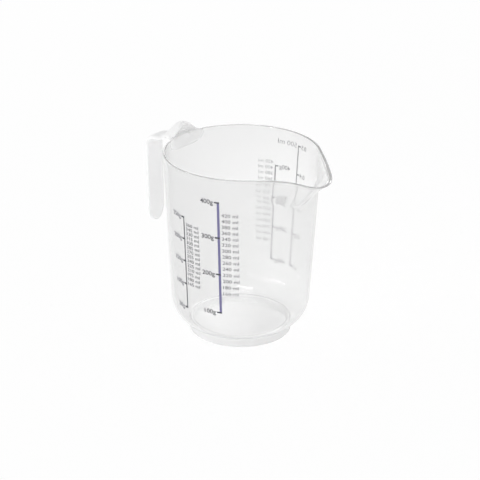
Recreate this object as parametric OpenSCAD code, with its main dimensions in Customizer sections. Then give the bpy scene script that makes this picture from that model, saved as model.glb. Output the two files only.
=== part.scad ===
// Half-litre measuring jug: a clear tapered vessel whose pour spout is blended out of the
// round rim, a hooked handle with a thumb rest, and four printed scales on the wall.
// Z is up from the table, the spout points along +X and the handle along -X.

/* [Vessel] */
// Height of the round rim above the table
rim_h = 109.5; // [100:0.5:130]
// Outer radius of the wall at the rim
rim_r = 45.2; // [42:0.2:50]
// Angle by which the straight wall leans out
wall_draft = 3.1; // [1:0.1:5]
// Thickness of the wall
wall = 1.4; // [1:0.1:2]
// Radius that rounds both edges of the rim
rim_edge = 0.4; // [0.1:0.05:0.45]
// Radius of the outer curve that turns the wall into the bowl
bowl_curve = 19; // [15:0.2:22]
// Height of the inside floor above the table
floor_h = 7.2; // [6.4:0.1:9]
// Thickness of the floor
floor_t = 1.6; // [1.2:0.1:1.8]
// Radius of the cove that turns the inside floor up into the bowl
floor_cove = 5; // [2:0.5:7]

/* [Foot ring] */
// Outer radius of the foot ring
foot_r = 29.8; // [27:0.1:31]
// Height at which the bowl leaves the foot ring
foot_h = 5; // [4:0.1:6]
// Thickness of the foot ring
foot_wall = 1.6; // [1.2:0.1:2.4]
// Radius of the gate mark under the floor
gate_r = 1.5; // [1:0.1:3]
// Height that the gate mark stands proud of the floor's underside
gate_h = 0.4; // [0.2:0.1:1]

/* [Spout] */
// Distance from the axis to the tip of the lip
spout_reach = 60.6; // [56:0.2:66]
// Radius of the spout's nose, seen from above
nose_r = 15.5; // [9:0.5:18]
// Depth of the lip below the round rim
lip_drop = 5; // [0:0.2:8]
// Ease of the lip: 1 dips evenly along the rim, more keeps the dip close to the tip
lip_ease = 2; // [1:0.1:3]
// Height of the spout from the wall up to its lip
spout_h = 17; // [12:0.5:26]
// Ease of the keel: 1 is a straight keel, more blends it softly into the wall
keel_ease = 1.25; // [1:0.05:1.8]

/* [Handle] */
// Distance from the vessel's axis to the outside of the grip, at its top
grip_reach = 70; // [64:0.5:76]
// Width of the strap
strap_w = 13.4; // [9:0.2:18]
// Thickness of the strap
strap_t = 3.3; // [2.4:0.1:4.5]
// Fall of the strap's top below the rim
strap_fall = 4.4; // [2:0.2:8]
// Distance over which the strap falls
fall_run = 11; // [8:0.5:14]
// Outer radius of the bend from strap to grip
bend_r = 7.5; // [6:0.25:9]
// Angle by which the grip leans in towards the vessel
grip_lean = 1.7; // [0:0.1:4]
// Height of the grip's lower end above the table
grip_end_h = 49; // [30:1:70]
// Length over which the grip's end is rounded
grip_tip = 9; // [8:0.5:20]
// Radius of the fillet that spreads the strap onto the rim, seen from above
root_fillet = 20; // [12:0.5:24]
// Depth of the root on the wall, below the strap's underside
root_depth = 5; // [2:0.5:10]
// Distance over which the root thins into the strap
root_run = 5.5; // [4:0.25:8]
// Height of the thumb rest above the rim
thumb_h = 6.8; // [3:0.1:10]
// Width of the thumb rest along the rim
thumb_w = 26; // [16:0.5:30]
// Length of the slope from the thumb rest's crest at the wall down to the strap
thumb_slope = 16.4; // [12:0.2:17]

/* [Scales] */
// Thickness of the printed ink
ink_t = 0.1; // [0.05:0.01:0.2]
// Width of the rice scale's line
bold_w = 1.4; // [0.8:0.1:2]
// Width of the other scales' lines
line_w = 0.8; // [0.4:0.1:1.2]
// Width of each mark, up the wall
mark_w = 0.8; // [0.4:0.1:1.2]
// Length of each mark, round the wall
mark_len = 3; // [2:0.25:6]
// Clearance from the rim down to the rice scale's top mark
rice_top_gap = 14.3; // [8:0.1:24]
// Height of the rice scale's lowest mark above the bowl
rice_low_gap = 5.4; // [1:0.1:10]
// Clearance from the rim down to the flour scale's top mark
flour_top_gap = 28.5; // [8:0.1:40]
// Height of the flour scale's lowest mark above the bowl
flour_low_gap = 3; // [1:0.1:10]
// Clearance from the rim down to the sugar scale's top mark
sugar_top_gap = 23.6; // [8:0.1:36]
// Height of the sugar scale's lowest mark above the bowl
sugar_low_gap = 5.9; // [1:0.1:10]
// Clearance from the rim down to the litre scale's top mark
litre_top_gap = 7.8; // [4:0.1:20]
// Height of the litre scale's lowest mark above the bowl
litre_low_gap = 5.7; // [1:0.1:10]

/* [Hidden] */

// Clearance between the handle's root and the wall that it meets
seat_gap = 0.02;
// Overrun of every cutting solid
cut_over = 2;
// A whole turn round the axis
full_turn = 360;
quarter_turn = 90;
// Facets of the round solids, where they are shown as meshes
round_facets = 180;
gate_facets = 48;
print_facets = 360;

// Directions of the scales round the axis, from the spout
rice_angle = -66.3;
flour_angle = -97.2;
sugar_angle = 103.5;
litre_angle = 82.5;
// Steps between the lowest and the top mark of each scale
rice_steps = 3;
flour_steps = 4;
sugar_steps = 3;
litre_steps = 4;

// The straight wall, a cone
function wall_r(z) = rim_r - (rim_h - z) * tan(wall_draft);

// The bowl: an arc tangent to the wall that passes through the top of the foot ring
axis_gap = foot_r - (wall_r(0) - bowl_curve / cos(wall_draft));
draft_t = tan(wall_draft);
half_sum = draft_t * axis_gap + foot_h;
spread = axis_gap * axis_gap + foot_h * foot_h - bowl_curve * bowl_curve;
bowl_z = (half_sum + sqrt(half_sum * half_sum - (1 + draft_t * draft_t) * spread))
    / (1 + draft_t * draft_t);
bowl_x = wall_r(bowl_z) - bowl_curve / cos(wall_draft);
bowl_top = bowl_z - bowl_curve * sin(wall_draft);
function bowl_under(r) = bowl_z - sqrt(bowl_curve * bowl_curve - (r - bowl_x) * (r - bowl_x));

// The spout: at every level the outline is the wall's circle and a nose circle, joined by
// their common tangents, and the nose slides out from the wall up to the lip
lip_h = rim_h - lip_drop;
spout_low = lip_h - spout_h;
nose_in = wall_r(spout_low) - nose_r;
nose_out = spout_reach - nose_r;
keel_lean = atan2(nose_out - nose_in, spout_h);
keel_shift = wall * (1 / cos(keel_lean) - 1);
function nose_x(t) = nose_in + (nose_out - nose_in) * pow(t, keel_ease);
function outline_r(a, big_r, small_r, centre) =
    let (side = abs(a), drop = (big_r - small_r) / centre)
    drop >= 1 ? big_r :
    let (tangent = acos(drop), corner = atan2(small_r * sin(tangent), centre + small_r * drop))
    side >= tangent ? big_r :
    side > corner ? big_r / cos(tangent - side) :
    centre * cos(side) + sqrt(small_r * small_r - pow(centre * sin(side), 2));
function lip_share(a) =
    (outline_r(a, rim_r, nose_r, nose_out) - rim_r) / (spout_reach - rim_r);
function rim_z(a) = rim_h - lip_drop * pow(lip_share(a), lip_ease);

// Columns of the vessel's skin, close together round the spout and wider elsewhere
spout_angle = 50;
fine_angle = 2.5;
plain_angle = 5;
columns = concat(
    [for (a = [-spout_angle : fine_angle : spout_angle]) a],
    [for (a = [spout_angle + plain_angle : plain_angle : full_turn - spout_angle - plain_angle]) a]);
keel_rows = 9;
bowl_rows = 7;
cove_rows = 4;

// Rings of the vessel's skin. The inset runs from 0 on the outside to wall on the inside.
function plain_ring(r, z) = [for (a = columns) [r * cos(a), r * sin(a), z]];
function spout_ring(t, inset, sink = 0) = [for (a = columns)
    let (
        z = spout_low + t * (rim_z(a) - spout_low),
        r = outline_r(a, wall_r(z) - inset, nose_r - inset, nose_x(t) - keel_shift * inset / wall)
    ) [r * cos(a), r * sin(a), z - sink]];
function bowl_ring(r, turn) = plain_ring(bowl_x + r * cos(turn), bowl_z + r * sin(turn));

step_r = foot_r - foot_wall / 2;
low_turn = atan2(bowl_under(step_r) - bowl_z, step_r - bowl_x);
inner_curve = bowl_curve - wall;
// The cove between the inside floor and the bowl touches both
cove_h = floor_h + floor_cove;
cove_mid = bowl_x + sqrt(pow(inner_curve - floor_cove, 2) - pow(bowl_z - cove_h, 2));
cove_turn = atan2(cove_h - bowl_z, cove_mid - bowl_x);
function cove_ring(turn) =
    plain_ring(cove_mid + floor_cove * cos(turn), cove_h + floor_cove * sin(turn));
under_h = floor_h - floor_t;
// A rim edge is turned through a quarter circle at these angles
edge_turns = [0, quarter_turn / 2, quarter_turn];

vessel_rings = concat(
    [plain_ring(step_r, under_h)],
    [for (i = [0 : bowl_rows]) bowl_ring(bowl_curve, low_turn - (low_turn + wall_draft) * i / bowl_rows)],
    [for (i = [0 : keel_rows - 1]) spout_ring(i / keel_rows, 0)],
    [for (e = edge_turns) spout_ring(1, rim_edge * (1 - cos(e)), rim_edge * (1 - sin(e)))],
    [for (e = edge_turns) spout_ring(1, wall - rim_edge * (1 - sin(e)), rim_edge * (1 - cos(e)))],
    [for (i = [keel_rows - 1 : -1 : 0]) spout_ring(i / keel_rows, wall)],
    [for (i = [bowl_rows : -1 : 0])
        bowl_ring(inner_curve, cove_turn - (cove_turn + wall_draft) * i / bowl_rows)],
    [for (i = [1 : cove_rows])
        cove_ring(cove_turn - (cove_turn + quarter_turn) * i / cove_rows)]);

// A closed skin over stacked rings that run from the bottom up, with a point at each end
module ring_skin(rings, first, last) {
    n = len(rings[0]);
    m = len(rings);
    points = concat([first], [for (ring = rings) each ring], [last]);
    sides = [for (i = [0 : m - 2], j = [0 : n - 1])
        let (k = (j + 1) % n, a = 1 + i * n, b = a + n)
        each [[a + j, b + j, b + k], [a + j, b + k, a + k]]];
    starts = [for (j = [0 : n - 1]) [0, 1 + j, 1 + (j + 1) % n]];
    ends = [for (j = [0 : n - 1])
        [1 + m * n, 1 + (m - 1) * n + (j + 1) % n, 1 + (m - 1) * n + j]];
    polyhedron(points, concat(starts, sides, ends), convexity = 10);
}

module vessel() {
    color([0.9, 0.92, 0.94, 0.45]) {
        ring_skin(vessel_rings, [0, 0, under_h], [0, 0, floor_h]);
        foot_ring();
        translate([0, 0, under_h - gate_h]) cylinder(h = gate_h + floor_t / 2, r = gate_r, $fn = gate_facets);
    }
}

module foot_ring() {
    rotate_extrude($fn = round_facets)
        translate([foot_r - foot_wall, 0])
            square([foot_wall, under_h + floor_t / 2]);
}

// The strap, seen from above: its sides spread onto the rim in two fillets
half_w = strap_w / 2;
root_bite = 0.6;
fillet_y = half_w + root_fillet;
fillet_x = sqrt(pow(rim_r + root_fillet - root_bite, 2) - fillet_y * fillet_y);
bend_x = grip_reach - bend_r;
root_x = fillet_x * rim_r / (rim_r + root_fillet);
function strap_half(x) = x >= fillet_x ? half_w :
    fillet_y - sqrt(max(0, root_fillet * root_fillet - pow(fillet_x - x, 2)));

// The strap, seen from the side
function clamp(t) = max(0, min(1, t));
function beyond(x) = max(0, x - rim_r);
function ease(t) = clamp(t) * clamp(t) * (3 - 2 * clamp(t));
function bell(t) = pow(cos(quarter_turn * clamp(abs(t))), 2);
function fall(x) = strap_fall * ease(beyond(x) / fall_run);
function thumb(x, y) =
    (thumb_h + fall(x)) * bell(2 * y / thumb_w) * bell(beyond(x) / thumb_slope);
function root(x, y) = bell(beyond(norm([x, y])) / root_run);
function round_share(q) = pow(1 - pow(abs(q), 3), 1 / 3);
across_steps = 8;
q_shares = [for (i = [-across_steps : across_steps]) sin(quarter_turn * i / across_steps)];

// A ring of the strap over the wall and the thumb rest, in an upright plane
function shelf_ring(x) =
    let (w = strap_half(x), mid = rim_h - fall(x) - strap_t / 2)
    concat(
        [for (q = q_shares) let (y = w * q)
            [x, y, mid + strap_t / 2 * round_share(q) + thumb(x, y)]],
        [for (i = [2 * across_steps - 1 : -1 : 1]) let (q = q_shares[i], y = w * q)
            [x, y, mid - strap_t / 2 * round_share(q)
                - root_depth * root(x, y) * round_share(q)
                + thumb(x, y) * (1 - root(x, y)) * hollow_share(x)]]);
// The thumb rest is hollow underneath, where the strap keeps its thickness
function hollow_share(x) = ease(beyond(x) / root_run);

// A ring of the bend and the grip, square to the strap's centre line
function strap_ring(x, z, turn, w) = concat(
    [for (q = q_shares) strap_point(x, z, turn, w * q, strap_t / 2 * round_share(q))],
    [for (i = [2 * across_steps - 1 : -1 : 1])
        strap_point(x, z, turn, w * q_shares[i], -strap_t / 2 * round_share(q_shares[i]))]);
function strap_point(x, z, turn, y, out) = [x + out * sin(turn), y, z + out * cos(turn)];

strap_top = rim_h - strap_fall;
bend_mid = bend_r - strap_t / 2;
bend_steps = 7;
bend_angle = quarter_turn + grip_lean;
grip_x = bend_x + bend_mid * sin(bend_angle);
grip_top = strap_top - bend_r + bend_mid * cos(bend_angle);
tip_top = grip_end_h + grip_tip;
tip_steps = 8;
shelf_steps = 16;
function grip_at(z) = grip_x - (grip_top - z) * tan(grip_lean);
function tip_half(t) = half_w * sqrt(1 - t * t);

handle_rings = concat(
    [for (i = [0 : shelf_steps]) shelf_ring(root_x + (bend_x - root_x) * i / shelf_steps)],
    [for (i = [1 : bend_steps]) let (turn = bend_angle * i / bend_steps)
        strap_ring(bend_x + bend_mid * sin(turn), strap_top - bend_r + bend_mid * cos(turn),
            turn, half_w)],
    [for (i = [0 : tip_steps - 1])
        let (t = sin(quarter_turn * i / tip_steps), z = tip_top - grip_tip * t)
        strap_ring(grip_at(z), z, bend_angle, tip_half(t))]);

module handle() {
    color([0.9, 0.92, 0.94, 0.45])
        rotate([0, 0, 180]) difference() {
            ring_skin(handle_rings, [root_x, 0, rim_h], [grip_at(grip_end_h), 0, grip_end_h]);
            wall_seat();
        }
}

// What the vessel fills or leaves open where the handle meets it
module wall_seat() {
    low = rim_h - root_depth - strap_t - cut_over;
    translate([0, 0, low])
        cylinder(h = rim_h + seat_gap - low, r1 = wall_r(low) + seat_gap,
            r2 = rim_r + seat_gap, $fn = round_facets);
    translate([0, 0, low])
        cylinder(h = rim_h + thumb_h + cut_over - low, r = rim_r - wall, $fn = round_facets);
}

// Height of a mark: equal steps of volume in the tapered vessel between two marks
function mark_h(low, top, share) =
    let (a = pow(wall_r(low), 3), b = pow(wall_r(top), 3))
    low + (pow(a + (b - a) * share, 1 / 3) - wall_r(low)) / draft_t;

// A skin of ink all round the wall
module ink_skin() {
    rotate_extrude($fn = print_facets)
        polygon([[wall_r(bowl_top), bowl_top], [wall_r(bowl_top) + ink_t, bowl_top],
            [rim_r + ink_t, rim_h], [rim_r, rim_h]]);
}

// A scale keeps the skin where its line and its marks are. The line ends at the given
// direction, and its marks lie before it.
module printed_scale(turn, width, top_gap, low_gap, steps) {
    low = bowl_top + low_gap;
    top = rim_h - top_gap;
    intersection() {
        ink_skin();
        rotate([0, 0, turn]) rotate([90, 0, 90]) linear_extrude(rim_r + cut_over) {
            translate([-width, low - mark_w / 2]) square([width, top - low + mark_w]);
            for (i = [0 : steps])
                translate([-width - mark_len, mark_h(low, top, i / steps) - mark_w / 2])
                    square([mark_len + width, mark_w]);
        }
    }
}

module rice_scale() {
    color([0.33, 0.32, 0.62]) printed_scale(rice_angle, bold_w, rice_top_gap, rice_low_gap, rice_steps);
}

module flour_scale() {
    color([0.4, 0.4, 0.46]) printed_scale(flour_angle, line_w, flour_top_gap, flour_low_gap, flour_steps);
}

module sugar_scale() {
    color([0.4, 0.4, 0.46]) printed_scale(sugar_angle, line_w, sugar_top_gap, sugar_low_gap, sugar_steps);
}

module litre_scale() {
    color([0.4, 0.4, 0.46]) printed_scale(litre_angle, line_w, litre_top_gap, litre_low_gap, litre_steps);
}

vessel();
handle();
rice_scale();
flour_scale();
sugar_scale();
litre_scale();
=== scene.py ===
"""The looks of a clear half-litre measuring jug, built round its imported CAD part.

The clear moulding is one closed mesh, built from the same formulas as the part's source but with
finer rows, so that it refracts as one piece. The printed scales are thin closed pieces of ink on
the wall. Lengths are in metres and angles in degrees, in the part's frame: Z is up, the spout
points along +X and the handle along -X.
"""

import math

import bmesh
import bpy
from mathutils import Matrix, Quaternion, Vector


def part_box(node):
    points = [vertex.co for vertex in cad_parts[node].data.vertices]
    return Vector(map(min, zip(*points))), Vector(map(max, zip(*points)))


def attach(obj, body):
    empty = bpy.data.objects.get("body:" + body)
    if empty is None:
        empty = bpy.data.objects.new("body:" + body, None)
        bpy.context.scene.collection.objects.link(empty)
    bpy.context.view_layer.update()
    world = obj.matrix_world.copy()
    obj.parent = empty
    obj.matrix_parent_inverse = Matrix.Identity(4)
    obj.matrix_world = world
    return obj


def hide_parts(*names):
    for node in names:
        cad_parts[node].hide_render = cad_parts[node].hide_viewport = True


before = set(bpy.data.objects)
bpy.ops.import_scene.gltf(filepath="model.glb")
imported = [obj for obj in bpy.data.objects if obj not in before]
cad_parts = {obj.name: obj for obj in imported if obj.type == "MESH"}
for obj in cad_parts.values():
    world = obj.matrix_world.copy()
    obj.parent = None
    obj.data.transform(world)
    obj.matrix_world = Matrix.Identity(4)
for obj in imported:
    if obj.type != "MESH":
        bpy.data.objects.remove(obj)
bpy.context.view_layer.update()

MM = 0.001

# Sizes that the frame gives
_, vessel_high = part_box("vessel")
handle_low, handle_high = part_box("handle")
RIM_H = vessel_high.z
RIM_R = vessel_high.y
SPOUT_REACH = vessel_high.x
GRIP_REACH = -handle_low.x
GRIP_END_H = handle_low.z
THUMB_H = handle_high.z - RIM_H

# The vessel's wall, rim and bowl
WALL_DRAFT = 3.1
WALL = 1.4 * MM
RIM_EDGE = 0.4 * MM
BOWL_CURVE = 19 * MM
FLOOR_H = 7.2 * MM
FLOOR_T = 1.6 * MM
FLOOR_COVE = 5 * MM

# The foot ring and the gate mark inside it
FOOT_R = 29.8 * MM
FOOT_H = 5 * MM
FOOT_WALL = 1.6 * MM
FOOT_EDGE = 0.35 * MM
GATE_R = 1.5 * MM
GATE_H = 0.4 * MM
GATE_EDGE = 0.1 * MM

# The spout
NOSE_R = 15.5 * MM
LIP_DROP = 5 * MM
LIP_EASE = 2
SPOUT_H = 17 * MM
KEEL_EASE = 1.25

# The handle
STRAP_W = 13.4 * MM
STRAP_T = 3.3 * MM
STRAP_FALL = 4.4 * MM
FALL_RUN = 11 * MM
BEND_R = 7.5 * MM
GRIP_LEAN = 1.7
GRIP_TIP = 9 * MM
ROOT_FILLET = 20 * MM
ROOT_DEPTH = 5 * MM
ROOT_RUN = 5.5 * MM
ROOT_BITE = 0.6 * MM
THUMB_W = 26 * MM
THUMB_SLOPE = 16.4 * MM
SECTION_POWER = 3

# The prints: where each line ends round the axis, and the heights of its lowest and top marks
RICE_ANGLE, FLOUR_ANGLE, SUGAR_ANGLE, LITRE_ANGLE = -66.3, -97.2, 103.5, 82.5
RICE_MARKS = (26.5 * MM, 95.2 * MM)
FLOUR_MARKS = (24 * MM, 81 * MM)
SUGAR_MARKS = (27 * MM, 85.9 * MM)
LITRE_MARKS = (26.8 * MM, 101.7 * MM)
BOLD_W = 1.4 * MM
LINE_W = 0.8 * MM
MARK_W = 0.9 * MM
MARK_LEN = 1.6 * MM
RICE_LEAN = 1.6 * MM
INK_T = 0.1 * MM
INK_SINK = 0.02 * MM


def tan(angle):
    return math.tan(math.radians(angle))


def sin(angle):
    return math.sin(math.radians(angle))


def cos(angle):
    return math.cos(math.radians(angle))


def steps(first, last, count):
    """count + 1 even steps from first to last."""
    return [first + (last - first) * i / count for i in range(count + 1)]


def wall_r(z):
    """Outer radius of the straight wall at a height."""
    return RIM_R - (RIM_H - z) * tan(WALL_DRAFT)


def bowl_centre():
    """Centre of the bowl's arc, tangent to the wall and through the foot ring's top."""
    t = tan(WALL_DRAFT)
    gap = FOOT_R - (wall_r(0) - BOWL_CURVE / cos(WALL_DRAFT))
    half = t * gap + FOOT_H
    spread = gap * gap + FOOT_H * FOOT_H - BOWL_CURVE * BOWL_CURVE
    z = (half + math.sqrt(half * half - (1 + t * t) * spread)) / (1 + t * t)
    return wall_r(z) - BOWL_CURVE / cos(WALL_DRAFT), z


BOWL_X, BOWL_Z = bowl_centre()
BOWL_TOP = BOWL_Z - BOWL_CURVE * sin(WALL_DRAFT)
UNDER_H = FLOOR_H - FLOOR_T

# The spout's outline at every level is the wall's circle and a nose circle that slides outwards
SPOUT_LOW = RIM_H - LIP_DROP - SPOUT_H
NOSE_IN = wall_r(SPOUT_LOW) - NOSE_R
NOSE_OUT = SPOUT_REACH - NOSE_R
KEEL_LEAN = math.degrees(math.atan2(NOSE_OUT - NOSE_IN, SPOUT_H))
KEEL_SHIFT = WALL * (1 / cos(KEEL_LEAN) - 1)


def nose_x(t):
    return NOSE_IN + (NOSE_OUT - NOSE_IN) * t**KEEL_EASE


def outline_r(angle, big_r, small_r, centre):
    """Radius of the two circles' common outline in one direction."""
    side = abs(angle)
    drop = (big_r - small_r) / centre
    if drop >= 1:
        return big_r
    tangent = math.degrees(math.acos(drop))
    corner = math.degrees(math.atan2(small_r * sin(tangent), centre + small_r * drop))
    if side >= tangent:
        return big_r
    if side > corner:
        return big_r / cos(tangent - side)
    return centre * cos(side) + math.sqrt(small_r**2 - (centre * sin(side)) ** 2)


def rim_z(angle):
    """Height of the rim, which dips towards the lip."""
    share = (outline_r(angle, RIM_R, NOSE_R, NOSE_OUT) - RIM_R) / (SPOUT_REACH - RIM_R)
    return RIM_H - LIP_DROP * share**LIP_EASE


# Directions of the mesh's columns: one degree apart at the spout, and wider elsewhere
SPOUT_SPAN = 50
FINE_STEPS = 100
PLAIN_STEPS = 104
FULL_TURN = 360
COLUMNS = (
    steps(-SPOUT_SPAN, SPOUT_SPAN, FINE_STEPS)
    + steps(SPOUT_SPAN, FULL_TURN - SPOUT_SPAN, PLAIN_STEPS)[1:-1]
)
KEEL_ROWS = 24
WALL_ROWS = 16
BOWL_ROWS = 18
COVE_ROWS = 8
EDGE_ROWS = 6
QUARTER = 90
QUAD = 4


def plain_ring(r, z):
    return [(r * cos(a), r * sin(a), z) for a in COLUMNS]


def spout_ring(t, inset, sink=0.0):
    ring = []
    for a in COLUMNS:
        z = SPOUT_LOW + t * (rim_z(a) - SPOUT_LOW)
        centre = nose_x(t) - KEEL_SHIFT * inset / WALL
        r = outline_r(a, wall_r(z) - inset, NOSE_R - inset, centre)
        ring.append((r * cos(a), r * sin(a), z - sink))
    return ring


def bowl_ring(r, turn):
    return plain_ring(BOWL_X + r * cos(turn), BOWL_Z + r * sin(turn))


def rounded(corner_r, corner_z, first, last, edge):
    """Rings round an edge whose arc's centre is (corner_r, corner_z)."""
    return [
        plain_ring(corner_r + edge * cos(turn), corner_z + edge * sin(turn))
        for turn in steps(first, last, EDGE_ROWS)
    ]


def skin(name, rings, first, last):
    """A closed mesh over stacked rings, with a point at each end."""
    n = len(rings[0])
    points = [first] + [p for ring in rings for p in ring] + [last]
    faces = [(0, 1 + (j + 1) % n, 1 + j) for j in range(n)]
    for i in range(len(rings) - 1):
        for j in range(n):
            a, b = 1 + i * n + j, 1 + i * n + (j + 1) % n
            faces.append((a, b, b + n, a + n))
    end, top = 1 + (len(rings) - 1) * n, len(points) - 1
    faces += [(top, end + j, end + (j + 1) % n) for j in range(n)]
    mesh = bpy.data.meshes.new(name)
    mesh.from_pydata(points, [], faces)
    solid = bmesh.new()
    solid.from_mesh(mesh)
    bmesh.ops.recalc_face_normals(solid, faces=solid.faces)
    solid.to_mesh(mesh)
    solid.free()
    return mesh


def under_rings():
    """The gate mark, the floor's underside and the foot ring, up to the bowl."""
    foot_in = FOOT_R - FOOT_WALL
    gate_low = UNDER_H - GATE_H
    flat_share = 0.96
    return (
        [plain_ring(GATE_R * flat_share - GATE_EDGE, gate_low)]
        + rounded(GATE_R - GATE_EDGE, gate_low + GATE_EDGE, -QUARTER, 0, GATE_EDGE)
        + [plain_ring(GATE_R, UNDER_H - GATE_EDGE), plain_ring(GATE_R + GATE_EDGE, UNDER_H)]
        + [plain_ring((foot_in - FOOT_EDGE) * flat_share, UNDER_H)]
        + rounded(foot_in - FOOT_EDGE, UNDER_H - FOOT_EDGE, QUARTER, 0, FOOT_EDGE)
        + rounded(foot_in + FOOT_EDGE, FOOT_EDGE, 2 * QUARTER, 3 * QUARTER, FOOT_EDGE)
        + rounded(FOOT_R - FOOT_EDGE, FOOT_EDGE, -QUARTER, 0, FOOT_EDGE)
        + [plain_ring(FOOT_R, FOOT_H - FOOT_EDGE)]
    )


# The cove between the inside floor and the bowl touches both
COVE_H = FLOOR_H + FLOOR_COVE
COVE_MID = BOWL_X + math.sqrt((BOWL_CURVE - WALL - FLOOR_COVE) ** 2 - (BOWL_Z - COVE_H) ** 2)
COVE_TURN = math.degrees(math.atan2(COVE_H - BOWL_Z, COVE_MID - BOWL_X))


def cove_ring(turn):
    return plain_ring(COVE_MID + FLOOR_COVE * cos(turn), COVE_H + FLOOR_COVE * sin(turn))


def vessel_mesh():
    """The whole vessel: foot, bowl, wall and spout outside, and the same inside."""
    inner_curve = BOWL_CURVE - WALL
    foot_turn = math.degrees(math.atan2(FOOT_H - BOWL_Z, FOOT_R - BOWL_X))
    wall_levels = steps(BOWL_TOP, SPOUT_LOW, WALL_ROWS)[1:-1]
    keel_shares = steps(0, 1, KEEL_ROWS)[:-1]
    turns = steps(0, QUARTER, EDGE_ROWS)
    outside = (
        [bowl_ring(BOWL_CURVE, turn) for turn in steps(foot_turn, -WALL_DRAFT, BOWL_ROWS)]
        + [plain_ring(wall_r(z), z) for z in wall_levels]
        + [spout_ring(t, 0) for t in keel_shares]
    )
    rim = [spout_ring(1, RIM_EDGE * (1 - cos(e)), RIM_EDGE * (1 - sin(e))) for e in turns] + [
        spout_ring(1, WALL - RIM_EDGE * (1 - sin(e)), RIM_EDGE * (1 - cos(e))) for e in turns
    ]
    inside = (
        [spout_ring(t, WALL) for t in reversed(keel_shares)]
        + [plain_ring(wall_r(z) - WALL, z) for z in reversed(wall_levels)]
        + [bowl_ring(inner_curve, turn) for turn in steps(-WALL_DRAFT, COVE_TURN, BOWL_ROWS)]
        + [cove_ring(turn) for turn in steps(COVE_TURN, -QUARTER, COVE_ROWS)[1:]]
    )
    near_edge_share, mid_share = 0.97, 0.5
    floor = [plain_ring(COVE_MID * s, FLOOR_H) for s in (near_edge_share, mid_share)]
    rings = under_rings() + outside + rim + inside + floor
    return skin("vessel_skin", rings, (0, 0, UNDER_H - GATE_H), (0, 0, FLOOR_H))


# The handle is made along +X and then turned round
HALF_W = STRAP_W / 2
FILLET_Y = HALF_W + ROOT_FILLET
FILLET_X = math.sqrt((RIM_R + ROOT_FILLET - ROOT_BITE) ** 2 - FILLET_Y**2)
ROOT_X = FILLET_X * RIM_R / (RIM_R + ROOT_FILLET)
BEND_X = GRIP_REACH - BEND_R
BEND_MID = BEND_R - STRAP_T / 2
BEND_ANGLE = 90 + GRIP_LEAN
STRAP_TOP = RIM_H - STRAP_FALL
GRIP_X = BEND_X + BEND_MID * sin(BEND_ANGLE)
GRIP_TOP = STRAP_TOP - BEND_R + BEND_MID * cos(BEND_ANGLE)
TIP_TOP = GRIP_END_H + GRIP_TIP
ACROSS_STEPS = 24
SHELF_STEPS = 56
BEND_STEPS = 16
GRIP_STEPS = 12
TIP_STEPS = 16
ACROSS_SHARES = [sin(QUARTER * i / ACROSS_STEPS) for i in range(-ACROSS_STEPS, ACROSS_STEPS + 1)]


def clamp(t):
    return max(0.0, min(1.0, t))


def ease(t):
    return clamp(t) ** 2 * (3 - 2 * clamp(t))


def bell(t):
    return cos(QUARTER * clamp(abs(t))) ** 2


def beyond(x):
    return max(0.0, x - RIM_R)


def fall(x):
    return STRAP_FALL * ease(beyond(x) / FALL_RUN)


def thumb(x, y):
    return (THUMB_H + fall(x)) * bell(2 * y / THUMB_W) * bell(beyond(x) / THUMB_SLOPE)


def root(x, y):
    return bell(beyond(math.hypot(x, y)) / ROOT_RUN)


def strap_half(x):
    if x >= FILLET_X:
        return HALF_W
    return FILLET_Y - math.sqrt(max(0.0, ROOT_FILLET**2 - (FILLET_X - x) ** 2))


def round_share(q):
    """Half thickness of the strap's section at a share of its half width."""
    return max(0.0, 1 - abs(q) ** SECTION_POWER) ** (1 / SECTION_POWER)


def shelf_ring(x):
    """A ring of the strap over the wall and the thumb rest, in an upright plane."""
    w = strap_half(x)
    mid = RIM_H - fall(x) - STRAP_T / 2
    over = [
        (x, w * q, mid + STRAP_T / 2 * round_share(q) + thumb(x, w * q)) for q in ACROSS_SHARES
    ]
    hollow = ease(beyond(x) / ROOT_RUN)
    under = []
    for q in reversed(ACROSS_SHARES[1:-1]):
        y = w * q
        z = mid - (STRAP_T / 2 + ROOT_DEPTH * root(x, y)) * round_share(q)
        under.append((x, y, z + thumb(x, y) * (1 - root(x, y)) * hollow))
    return over + under


def strap_ring(x, z, turn, w):
    """A ring of the bend and the grip, square to the strap's centre line."""

    def point(q, side):
        out = side * STRAP_T / 2 * round_share(q)
        return (x + out * sin(turn), w * q, z + out * cos(turn))

    return [point(q, 1) for q in ACROSS_SHARES] + [
        point(q, -1) for q in reversed(ACROSS_SHARES[1:-1])
    ]


def grip_at(z):
    return GRIP_X - (GRIP_TOP - z) * tan(GRIP_LEAN)


def handle_mesh():
    """The thumb rest, strap, bend and grip, before the root is trimmed inside the wall."""
    rings = [shelf_ring(x) for x in steps(ROOT_X, BEND_X, SHELF_STEPS)]
    for turn in steps(0, BEND_ANGLE, BEND_STEPS)[1:]:
        rings.append(
            strap_ring(
                BEND_X + BEND_MID * sin(turn),
                STRAP_TOP - BEND_R + BEND_MID * cos(turn),
                turn,
                HALF_W,
            )
        )
    for z in steps(GRIP_TOP, TIP_TOP, GRIP_STEPS)[1:-1]:
        rings.append(strap_ring(grip_at(z), z, BEND_ANGLE, HALF_W))
    for i in range(TIP_STEPS):
        t = sin(QUARTER * i / TIP_STEPS)
        z = TIP_TOP - GRIP_TIP * t
        rings.append(strap_ring(grip_at(z), z, BEND_ANGLE, HALF_W * math.sqrt(1 - t * t)))
    turned = [[(-x, -y, z) for x, y, z in ring] for ring in rings]
    first = (-ROOT_X, 0, RIM_H)
    last = (-grip_at(GRIP_END_H), 0, GRIP_END_H)
    return skin("handle_skin", turned, first, last)


def add_piece(name, mesh):
    piece = bpy.data.objects.new(name, mesh)
    bpy.context.scene.collection.objects.link(piece)
    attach(piece, "root")
    return piece


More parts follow.
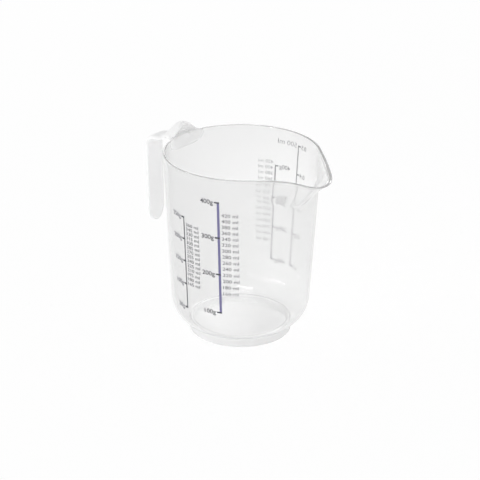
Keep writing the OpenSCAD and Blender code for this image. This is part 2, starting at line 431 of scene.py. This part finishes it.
def trim_mesh():
    """A drum that cuts the handle's root off inside the wall and above the rim's inner edge."""
    trim_gap = 0.05 * MM
    reach = 20 * MM
    r = RIM_R - WALL + RIM_EDGE + trim_gap
    low, high = RIM_H - reach, RIM_H + reach
    return skin("trim", [plain_ring(r, low), plain_ring(r, high)], (0, 0, low), (0, 0, high))


def clean(mesh):
    """Joins points that lie a few thousandths of a millimetre apart, and removes folded slivers."""
    weld = 4e-3 * MM
    solid = bmesh.new()
    solid.from_mesh(mesh)
    bmesh.ops.triangulate(solid, faces=[f for f in solid.faces if len(f.verts) > QUAD])
    bmesh.ops.remove_doubles(solid, verts=solid.verts, dist=weld)
    bmesh.ops.dissolve_degenerate(solid, edges=solid.edges, dist=weld)
    seen = {}
    for face in solid.faces:
        seen.setdefault(frozenset(face.verts), []).append(face)
    folded = [face for group in seen.values() if len(group) > 1 for face in group]
    bmesh.ops.delete(solid, geom=folded, context="FACES")
    solid.to_mesh(mesh)
    solid.free()


def combine(piece, other, operation):
    """Applies a boolean with a helper mesh, and removes the helper."""
    helper = bpy.data.objects.new("helper", other)
    bpy.context.scene.collection.objects.link(helper)
    step = piece.modifiers.new("combine", "BOOLEAN")
    step.operation = operation
    step.solver = "EXACT"
    step.object = helper
    graph = bpy.context.evaluated_depsgraph_get()
    result = bpy.data.meshes.new_from_object(piece.evaluated_get(graph))
    piece.modifiers.remove(step)
    bpy.data.objects.remove(helper)
    clean(result)
    piece.data = result


# Zones of the moulding's finish
SATIN_EDGE = 0.1 * MM
SATIN_BLEND = 0.3 * MM
RIM_ZONE = 0.5 * MM
RIM_BLEND = 0.2 * MM
FLOOR_BLEND = 3 * MM
BOWL_ZONE = 48 * MM
BOWL_BLEND = 12 * MM


def satin_share(point):
    """1 on the handle and the thumb rest, and 0 on the vessel."""
    outside = (math.hypot(point.x, point.y) - wall_r(point.z) - SATIN_EDGE) / SATIN_BLEND
    above = (point.z - RIM_H - SATIN_EDGE) / SATIN_BLEND
    return clamp(max(outside if point.x < 0 else 0, above))


def rim_share(point):
    """1 on the rim's edge, and 0 below it and on the thumb rest."""
    low = rim_z(math.degrees(math.atan2(point.y, point.x))) - RIM_ZONE
    return clamp((point.z - low) / RIM_BLEND) * (1 - satin_share(point))


def floor_share(point):
    """1 on the floor, above and below, and 0 beyond its cove and on the foot ring."""
    across = (FOOT_R - math.hypot(point.x, point.y)) / FLOOR_BLEND
    below = (FLOOR_H + FLOOR_COVE - point.z) / FLOOR_BLEND
    return clamp(min(across, below, (point.z - FOOT_H) / FOOT_EDGE))


def foot_share(point):
    """1 on the foot ring, and 0 above it."""
    return clamp((FOOT_H - point.z) / FOOT_EDGE)


def bowl_share(point):
    """1 on the bowl and the lowest part of the wall, and 0 above them and on the floor."""
    return clamp((BOWL_ZONE - point.z) / BOWL_BLEND) * (1 - floor_share(point))


def mark_zone(mesh, name, share):
    """Keeps a share of every point of a mesh for its material."""
    zone = mesh.attributes.new(name, "FLOAT", "POINT")
    zone.data.foreach_set("value", [share(v.co) for v in mesh.vertices])


def build_moulding():
    """Vessel and handle as one closed clear piece."""
    crease = 32
    piece = add_piece("clear_moulding", handle_mesh())
    combine(piece, trim_mesh(), "DIFFERENCE")
    combine(piece, vessel_mesh(), "UNION")
    piece.data.shade_smooth()
    piece.data.set_sharp_from_angle(angle=math.radians(crease))
    mark_zone(piece.data, "satin", satin_share)
    mark_zone(piece.data, "rim", rim_share)
    mark_zone(piece.data, "floor", floor_share)
    mark_zone(piece.data, "bowl", bowl_share)
    mark_zone(piece.data, "foot", foot_share)
    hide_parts("vessel", "handle")
    return piece


def mark_h(low, top, share):
    """Height of a mark: equal steps of volume in the tapered vessel between two marks."""
    a, b = wall_r(low) ** 3, wall_r(top) ** 3
    return low + ((a + (b - a) * share) ** (1 / 3) - wall_r(low)) / tan(WALL_DRAFT)


def on_wall(angle, along, z, lift):
    """A point printed on the wall, along it from a direction and up to a height."""
    r = wall_r(z)
    turn = angle + math.degrees(along / r)
    return ((r + lift) * cos(turn), (r + lift) * sin(turn), z)


def print_mesh(name, flat, angle, lean=0.0):
    """Wraps flat faces, X along the wall and Y up it, into a closed skin of ink.

    The print may lean: from the top mark's height down to the foot it drifts along the wall.
    """
    weld = 1e-3 * MM
    bmesh.ops.remove_doubles(flat, verts=flat.verts, dist=weld)
    inner = set(flat.verts)
    raised = bmesh.ops.extrude_face_region(flat, geom=list(flat.faces))
    outer = {v for v in raised["geom"] if isinstance(v, bmesh.types.BMVert)}
    # The faces are turned outwards while the skin is still flat and thick
    for v in outer:
        v.co.z = MM
    bmesh.ops.recalc_face_normals(flat, faces=flat.faces)
    top = RICE_MARKS[1]
    for v in inner | outer:
        along = v.co.x + lean * (top - v.co.y) / top
        lift = INK_T if v in outer else -INK_SINK
        v.co = Vector(on_wall(angle, along, v.co.y, lift))
    mesh = bpy.data.meshes.new(name)
    flat.to_mesh(mesh)
    flat.free()
    return mesh


def add_patch(flat, left, right, low, high, rows):
    """A flat rectangle in even rows."""
    levels = steps(low, high, rows)
    for below, above in zip(levels, levels[1:]):
        corners = [(left, below), (right, below), (right, above), (left, above)]
        flat.faces.new([flat.verts.new((x, y, 0)) for x, y in corners])


def scale_mesh(name, angle, width, marks, count, lean):
    """A scale's line, whose right side lies in the given direction, and the marks left of it."""
    low, top = marks
    flat = bmesh.new()
    levels = [mark_h(low, top, i / count) for i in range(count + 1)]
    rows = 6
    for level in levels:
        add_patch(flat, -width - MARK_LEN, -width, level - MARK_W / 2, level + MARK_W / 2, 1)
        add_patch(flat, -width, 0, level - MARK_W / 2, level + MARK_W / 2, 1)
    for below, above in zip(levels, levels[1:]):
        add_patch(flat, -width, 0, below + MARK_W / 2, above - MARK_W / 2, rows)
    return print_mesh(name, flat, angle, lean)


def paint_marks(mesh, marks, count):
    """Gives a scale's marks, and the line where they cross it, the mesh's second ink."""
    levels = [mark_h(*marks, i / count) for i in range(count + 1)]
    for face in mesh.polygons:
        near = min(abs(face.center.z - level) for level in levels)
        face.material_index = int(near <= MARK_W / 2)


def add_words(flat, words, size, wide, bold, right, left, middle):
    """Flat lettering of one line, with its right or left end at a place and its middle at a height."""
    curve = bpy.data.curves.new("words", "FONT")
    curve.body = words
    curve.size = size
    curve.offset = size * bold
    curve.resolution_u = 3
    holder = bpy.data.objects.new("words", curve)
    bpy.context.scene.collection.objects.link(holder)
    graph = bpy.context.evaluated_depsgraph_get()
    mesh = bpy.data.meshes.new_from_object(holder.evaluated_get(graph))
    bpy.data.objects.remove(holder)
    xs = [v.co.x for v in mesh.vertices]
    cap_share = 0.7
    shift = right - max(xs) * wide if left is None else left - min(xs) * wide
    for v in mesh.vertices:
        v.co = Vector((v.co.x * wide + shift, v.co.y + middle - size * cap_share / 2, 0))
    flat.from_mesh(mesh)
    bpy.data.meshes.remove(mesh)


# Lettering: the font's size, and its stretch along the wall
FIGURE_SIZE = 3.9 * MM
FIGURE_WIDE = 1.05
FIGURE_BOLD = 0.01
FIGURE_GAP = 0.6 * MM
ROW_SIZE = 2.9 * MM
ROW_WIDE = 1.2
ROW_BOLD = 0.0
ROW_GAP = 1.1 * MM
UNIT_SIZE = 4.2 * MM
UNIT_WIDE = 1.25

# The rows' volumes in millilitres
ROW_VOLUMES = range(160, 421, 20)
FLOUR_VOLUMES = range(165, 361, 15)
FULL_VOLUME = 500


def figures_mesh(name, angle, width, marks, figures, lean):
    """The numbers beside the marks, lowest first."""
    flat = bmesh.new()
    low, top = marks
    for i, words in enumerate(figures):
        level = mark_h(low, top, i / (len(figures) - 1))
        right = -width - MARK_LEN - FIGURE_GAP
        add_words(flat, words, FIGURE_SIZE, FIGURE_WIDE, FIGURE_BOLD, right, None, level)
    return print_mesh(name, flat, angle, lean)


def volume_h(millilitres):
    """Height of a volume on the wall, by the litre scale."""
    lowest, span = 100, 400
    return mark_h(*LITRE_MARKS, (millilitres - lowest) / span)


def rows_mesh(name, angle, volumes, size, wide, lean):
    """Rows of volumes right of a scale's line, each at its true height."""
    flat = bmesh.new()
    for volume in volumes:
        add_words(flat, f"{volume} ml", size, wide, ROW_BOLD, None, ROW_GAP, volume_h(volume))
    return print_mesh(name, flat, angle, lean)


# Node tools


def new_material(name):
    material = bpy.data.materials.new(name)
    material.use_nodes = True
    material.node_tree.nodes.clear()
    return material


class Tree:
    """Short calls for building a node tree."""

    def __init__(self, owner):
        self.nodes = owner.node_tree.nodes
        self.links = owner.node_tree.links

    def add(self, kind, **values):
        node = self.nodes.new(kind)
        for name, value in values.items():
            setattr(node, name, value)
        return node

    def join(self, source, output, target, name):
        self.links.new(source.outputs[output], target.inputs[name])


def speckle(tree, scale, detail, low, high):
    """Noise in the object's own coordinates, spread between two values."""
    place = tree.add("ShaderNodeTexCoord")
    noise = tree.add("ShaderNodeTexNoise")
    noise.inputs["Scale"].default_value = scale
    noise.inputs["Detail"].default_value = detail
    spread = tree.add("ShaderNodeMapRange")
    spread.inputs["To Min"].default_value = low
    spread.inputs["To Max"].default_value = high
    tree.join(place, "Object", noise, "Vector")
    tree.join(noise, "Fac", spread, "Value")
    return noise, spread


def blend(tree, factor, first, second):
    """A mix of two shaders by one output of a node."""
    mix = tree.add("ShaderNodeMixShader")
    tree.links.new(factor, mix.inputs["Fac"])
    tree.links.new(first.outputs[0], mix.inputs[1])
    tree.links.new(second.outputs[0], mix.inputs[2])
    return mix


def pass_on(tree, level):
    """A plain pane that lets light straight through."""
    pane = tree.add("ShaderNodeBsdfTransparent")
    pane.inputs["Color"].default_value = (level, level, level, 1)
    return pane


def zone(tree, name):
    """The share that the mesh keeps for a zone."""
    return tree.add("ShaderNodeAttribute", attribute_name=name).outputs["Fac"]


def between(tree, share, first, second):
    """A number between two others. Each of the two may come from a node."""
    mix = tree.add("ShaderNodeMix", data_type="FLOAT")
    tree.links.new(share, mix.inputs["Factor"])
    for name, value in (("A", first), ("B", second)):
        if isinstance(value, bpy.types.NodeSocket):
            tree.links.new(value, mix.inputs[name])
        else:
            mix.inputs[name].default_value = value
    return mix.outputs["Result"]


def by_zone(tree, value, **levels):
    """A number, or a node's output, that gives way to a level of its own in each named zone."""
    for name, level in levels.items():
        value = between(tree, zone(tree, name), value, level)
    return value


# The clear plastic: how rough, how milky and how dark it is in each of its zones. The rim's darker
# colour is painted shade for the dark line that its rounded edge gives
VESSEL_ROUGH = (0.05, 0.09)
BOWL_ROUGH = 0.015
FLOOR_ROUGH = 0.17
RIM_ROUGH = 0.0
HANDLE_ROUGH = 0.35
VESSEL_MILK = 0.3
FLOOR_MILK = 0.22
FOOT_MILK = 0.65
RIM_MILK = 0.0
HANDLE_MILK = 0.9
VESSEL_MILK_TONE = 0.72
HANDLE_MILK_TONE = 0.92
TINT = (0.955, 0.965)
# Painted shade: the rim's edge is coloured darker than the rest of the plastic
RIM_PAINTED_SHADE = 0.5
SATIN_GLOW = 0.85
BODY_DENSITY = 5.0

# How much light goes on after this many turns inside the plastic, and through it to a shadow
LONG_PATH = 5
LONG_PATH_LEVEL = 0.92
SHADOW_LEVEL = 0.95


def add_waves(tree, surface):
    """Faint waves in the moulded walls."""
    waves, _ = speckle(tree, scale=45.0, detail=0.0, low=0.0, high=1.0)
    bump = tree.add("ShaderNodeBump")
    bump.inputs["Strength"].default_value = 0.15
    bump.inputs["Distance"].default_value = 0.1 * MM
    tree.join(waves, "Fac", bump, "Height")
    tree.join(bump, "Normal", surface, "Normal")


def clear_surface(tree):
    """The refracting surface, with its polish and tint in each zone, and painted shade darkening the
    rim's edge.
    """
    surface = tree.add("ShaderNodeBsdfPrincipled")
    surface.inputs["Transmission Weight"].default_value = 1.0
    surface.inputs["IOR"].default_value = 1.49
    _, polish = speckle(tree, scale=60.0, detail=2.0, low=VESSEL_ROUGH[0], high=VESSEL_ROUGH[1])
    rough = by_zone(
        tree,
        polish.outputs["Result"],
        bowl=BOWL_ROUGH,
        floor=FLOOR_ROUGH,
        rim=RIM_ROUGH,
        satin=HANDLE_ROUGH,
    )
    tree.links.new(rough, surface.inputs["Roughness"])
    _, tint = speckle(tree, scale=25.0, detail=1.0, low=TINT[0], high=TINT[1])
    # The rim's edge gets a darker colour: painted shade for the dark line that its refraction gives
    tint_and_painted_shade = by_zone(tree, tint.outputs["Result"], rim=RIM_PAINTED_SHADE)
    colour = tree.add("ShaderNodeCombineColor")
    for channel in ("Red", "Green", "Blue"):
        tree.links.new(tint_and_painted_shade, colour.inputs[channel])
    tree.join(colour, "Color", surface, "Base Color")
    add_waves(tree, surface)
    return surface


def milky_share(tree):
    """The part of the plastic that scatters light where it enters, and how much it covers."""
    milk = tree.add("ShaderNodeBsdfDiffuse")
    tone = by_zone(tree, VESSEL_MILK_TONE, satin=HANDLE_MILK_TONE)
    tree.links.new(tone, milk.inputs["Color"])
    cover = by_zone(
        tree,
        VESSEL_MILK,
        floor=FLOOR_MILK,
        foot=FOOT_MILK,
        rim=RIM_MILK,
        satin=HANDLE_MILK,
    )
    return milk, cover


def satin_glow(tree):
    """The glow of satin faces seen from inside, from the light that falls on them outside."""
    glow = tree.add("ShaderNodeBsdfTranslucent")
    glow.inputs["Color"].default_value = (SATIN_GLOW, SATIN_GLOW, SATIN_GLOW, 1)
    return glow, by_zone(tree, 0.0, satin=HANDLE_MILK)


def clear_plastic():
    """Clear moulding: polished and slightly milky, with a satin handle and faint waves."""
    material = new_material("clear_plastic")
    tree = Tree(material)
    inside = tree.add("ShaderNodeNewGeometry").outputs["Backfacing"]
    milk, cover = milky_share(tree)
    body = blend(tree, between(tree, inside, cover, 0.0), clear_surface(tree), milk)
    glow, veil = satin_glow(tree)
    body = blend(tree, between(tree, inside, 0.0, veil), body, glow)
    # Light that has been turned round many times inside an edge goes straight on
    path = tree.add("ShaderNodeLightPath")
    deep = tree.add("ShaderNodeMath", operation="GREATER_THAN")
    deep.inputs[1].default_value = LONG_PATH
    tree.join(path, "Ray Depth", deep, 0)
    body = blend(tree, deep.outputs["Value"], body, pass_on(tree, LONG_PATH_LEVEL))
    # Lamps shine through the wall, so that it casts the faint shadow of clear plastic
    body = blend(tree, path.outputs["Is Shadow Ray"], body, pass_on(tree, SHADOW_LEVEL))
    fog = tree.add("ShaderNodeVolumeAbsorption")
    fog.inputs["Color"].default_value = (0.0, 0.0, 0.0, 1)
    fog.inputs["Density"].default_value = BODY_DENSITY
    out = tree.add("ShaderNodeOutputMaterial")
    tree.join(body, "Shader", out, "Surface")
    tree.join(fog, "Volume", out, "Volume")
    return material


def ink(name, dark, light):
    """Screen-printed ink: matte, with slight unevenness in its cover."""
    material = new_material(name)
    tree = Tree(material)
    surface = tree.add("ShaderNodeBsdfPrincipled")
    noise, _ = speckle(tree, scale=900.0, detail=3.0, low=0.0, high=1.0)
    cover = tree.add("ShaderNodeMix", data_type="RGBA")
    cover.inputs["A"].default_value = (*dark, 1)
    cover.inputs["B"].default_value = (*light, 1)
    tree.join(noise, "Fac", cover, "Factor")
    tree.links.new(cover.outputs["Result"], surface.inputs["Base Color"])
    matte = 0.6
    surface.inputs["Roughness"].default_value = matte
    out = tree.add("ShaderNodeOutputMaterial")
    tree.join(surface, "BSDF", out, "Surface")
    return material


def seen_rays(tree):
    """1 for camera, glossy and transmission rays, and 0 for the rays that light the object."""
    path = tree.add("ShaderNodeLightPath")
    either = tree.add("ShaderNodeMath", operation="MAXIMUM")
    tree.join(path, "Is Camera Ray", either, 0)
    tree.join(path, "Is Glossy Ray", either, 1)
    most = tree.add("ShaderNodeMath", operation="MAXIMUM")
    tree.join(either, "Value", most, 0)
    tree.join(path, "Is Transmission Ray", most, 1)
    return most


def white_floor():
    """A white floor that keeps a soft share of the object's shadow."""
    material = new_material("white_floor")
    tree = Tree(material)
    plain = tree.add("ShaderNodeBsdfDiffuse")
    plain.inputs["Color"].default_value = (1, 1, 1, 1)
    glow = tree.add("ShaderNodeEmission")
    glow.inputs["Color"].default_value = (1, 1, 1, 1)
    glow.inputs["Strength"].default_value = 1.0
    share = tree.add("ShaderNodeMath", operation="MULTIPLY")
    glow_share = 0.93
    share.inputs[1].default_value = glow_share
    tree.links.new(seen_rays(tree).outputs["Value"], share.inputs[0])
    mix = tree.add("ShaderNodeMixShader")
    tree.join(share, "Value", mix, "Fac")
    tree.links.new(plain.outputs["BSDF"], mix.inputs[1])
    tree.links.new(glow.outputs["Emission"], mix.inputs[2])
    out = tree.add("ShaderNodeOutputMaterial")
    tree.join(mix, "Shader", out, "Surface")
    return material


def build_floor():
    """A wide flat floor just under the foot ring."""
    half = 3.0
    cells = 4
    flat = bmesh.new()
    for left, right in zip(steps(-half, half, cells), steps(-half, half, cells)[1:]):
        add_patch(flat, left, right, -half, half, cells)
    bmesh.ops.remove_doubles(flat, verts=flat.verts, dist=MM)
    mesh = bpy.data.meshes.new("floor")
    flat.to_mesh(mesh)
    flat.free()
    floor = bpy.data.objects.new("floor", mesh)
    bpy.context.scene.collection.objects.link(floor)
    floor_gap = 0.02 * MM
    floor.location.z = -floor_gap
    mesh.materials.append(white_floor())


def build_world():
    """An even white room, a little dimmer where it only lights the object."""
    world = bpy.data.worlds.new("room")
    bpy.context.scene.world = world
    world.use_nodes = True
    world.node_tree.nodes.clear()
    tree = Tree(world)
    light = tree.add("ShaderNodeBackground")
    strength = tree.add("ShaderNodeMapRange")
    lit, seen = 0.72, 1.0
    strength.inputs["To Min"].default_value = lit
    strength.inputs["To Max"].default_value = seen
    tree.join(seen_rays(tree), "Value", strength, "Value")
    light.inputs["Color"].default_value = (1, 1, 1, 1)
    tree.join(strength, "Result", light, "Strength")
    out = tree.add("ShaderNodeOutputWorld")
    tree.join(light, "Background", out, "Surface")


LAMP_AIM = (0, 0, 50 * MM)
LAMP_DISTANCE = 1.3


def add_lamp(name, turn, rise, roll, wide, high, level):
    """A soft panel in a direction from the jug. Its level is its brightness, where white is 1."""
    lamp = bpy.data.lights.new(name, "AREA")
    lamp.shape = "RECTANGLE"
    lamp.size = wide
    lamp.size_y = high
    lamp.energy = level * math.pi * wide * high
    holder = bpy.data.objects.new(name, lamp)
    bpy.context.scene.collection.objects.link(holder)
    away = Vector((cos(turn) * cos(rise), sin(turn) * cos(rise), sin(rise)))
    holder.location = Vector(LAMP_AIM) + away * LAMP_DISTANCE
    holder.rotation_mode = "QUATERNION"
    rolled = Quaternion((0, 0, 1), math.radians(roll))
    holder.rotation_quaternion = away.to_track_quat("Z", "Y") @ rolled
    return holder


def add_gleam(name, turn, rise, roll, wide, high, level):
    """A panel that is only seen as a reflection."""
    holder = add_lamp(name, turn, rise, roll, wide, high, level)
    holder.visible_diffuse = False


def build_lamps():
    """Soft panels round the jug, and two strips that gleam on the far side of the bowl."""
    add_lamp("back_panel", turn=139.5, rise=16.2, roll=0, wide=0.48, high=0.37, level=2.5)
    add_lamp("right_fill", turn=-30, rise=8, roll=0, wide=0.6, high=0.6, level=2.8)
    add_lamp("left_fill", turn=-122, rise=10, roll=0, wide=0.8, high=0.8, level=2.7)
    add_gleam("left_strip", turn=-100, rise=18, roll=5, wide=1.9, high=0.1, level=30.0)
    add_gleam("top_strip", turn=-66, rise=71, roll=0, wide=0.5, high=0.2, level=8.0)


# The camera: its direction and roll, what it looks at, and how the picture is framed
VIEW_TURN = 40
VIEW_RISE = 23.8
VIEW_ROLL = 0.74
VIEW_TARGET = (0, 0, 54.2 * MM)
VIEW_DISTANCE = 1084.6 * MM
VIEW_LENS = 140.3
PICTURE_SIDE = 480
CONTENT_RIGHT = 1.2
CONTENT_DOWN = 0.4


def build_camera():
    camera = bpy.data.cameras.new("camera")
    camera.lens = VIEW_LENS
    camera.sensor_width = 36.0
    camera.shift_x = -CONTENT_RIGHT / PICTURE_SIDE
    camera.shift_y = CONTENT_DOWN / PICTURE_SIDE
    camera.clip_start = 0.05
    camera.clip_end = 20.0
    holder = bpy.data.objects.new("camera", camera)
    bpy.context.scene.collection.objects.link(holder)
    back = Vector(
        (sin(VIEW_TURN) * cos(VIEW_RISE), -cos(VIEW_TURN) * cos(VIEW_RISE), sin(VIEW_RISE))
    )
    holder.location = Vector(VIEW_TARGET) + back * VIEW_DISTANCE
    turned = back.to_track_quat("Z", "Y")
    holder.rotation_mode = "QUATERNION"
    holder.rotation_quaternion = turned @ Quaternion((0, 0, 1), math.radians(VIEW_ROLL))
    bpy.context.scene.camera = holder


bpy.context.scene.view_settings.view_transform = "Standard"

moulding = build_moulding()
moulding.data.materials.clear()
moulding.data.materials.append(clear_plastic())

violet = ink("violet_ink", dark=(0.13, 0.12, 0.26), light=(0.17, 0.16, 0.31))
black = ink("black_ink", dark=(0.03, 0.03, 0.04), light=(0.05, 0.05, 0.06))
dark_grey = ink("dark_grey_ink", dark=(0.06, 0.06, 0.07), light=(0.09, 0.09, 0.1))
grey = ink("grey_ink", dark=(0.12, 0.12, 0.13), light=(0.17, 0.17, 0.18))
pale_grey = ink("pale_grey_ink", dark=(0.2, 0.2, 0.22), light=(0.27, 0.27, 0.29))

# Each scale: its direction, its line's width, its marks, its figures and its lean
PRINTS = [
    ("rice", RICE_ANGLE, BOLD_W, RICE_MARKS, [f"{n}00g" for n in range(1, 5)], RICE_LEAN),
    ("flour", FLOUR_ANGLE, LINE_W, FLOUR_MARKS, [f"{n}g" for n in range(50, 300, 50)], 0),
    ("sugar", SUGAR_ANGLE, LINE_W, SUGAR_MARKS, [f"{n}00g" for n in range(1, 5)], 0),
    ("litre", LITRE_ANGLE, LINE_W, LITRE_MARKS, [f"0.{n}" for n in range(1, 6)], 0),
]
ROWS = {
    "rice": (ROW_VOLUMES, ROW_SIZE, ROW_WIDE),
    "flour": (FLOUR_VOLUMES, ROW_SIZE, ROW_WIDE),
    "sugar": (ROW_VOLUMES, ROW_SIZE, ROW_WIDE),
    "litre": ([FULL_VOLUME], UNIT_SIZE, UNIT_WIDE),
}
# The inks of each scale's line and figures. Marks are black and rows are grey.
LINE_INKS = {"rice": violet, "flour": grey, "sugar": black, "litre": black}
FIGURE_INKS = {"rice": dark_grey, "flour": pale_grey, "sugar": dark_grey, "litre": dark_grey}


def build_print(name, angle, width, marks, figures, lean):
    """One scale: its line with the marks, its figures and its rows of volumes."""
    count = len(figures) - 1
    line_mesh = scale_mesh(f"{name}_line", angle, width, marks, count, lean)
    line = add_piece(f"{name}_line", line_mesh)
    line.data.materials.append(LINE_INKS[name])
    line.data.materials.append(black)
    paint_marks(line.data, marks, count)
    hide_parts(f"{name}_scale")
    numbers_mesh = figures_mesh(f"{name}_figures", angle, width, marks, figures, lean)
    numbers = add_piece(f"{name}_figures", numbers_mesh)
    numbers.data.materials.append(FIGURE_INKS[name])
    volumes_mesh = rows_mesh(f"{name}_rows", angle, *ROWS[name], lean)
    rows = add_piece(f"{name}_rows", volumes_mesh)
    rows.data.materials.append(grey)


for scale in PRINTS:
    build_print(*scale)

build_floor()
build_world()
build_lamps()
build_camera()
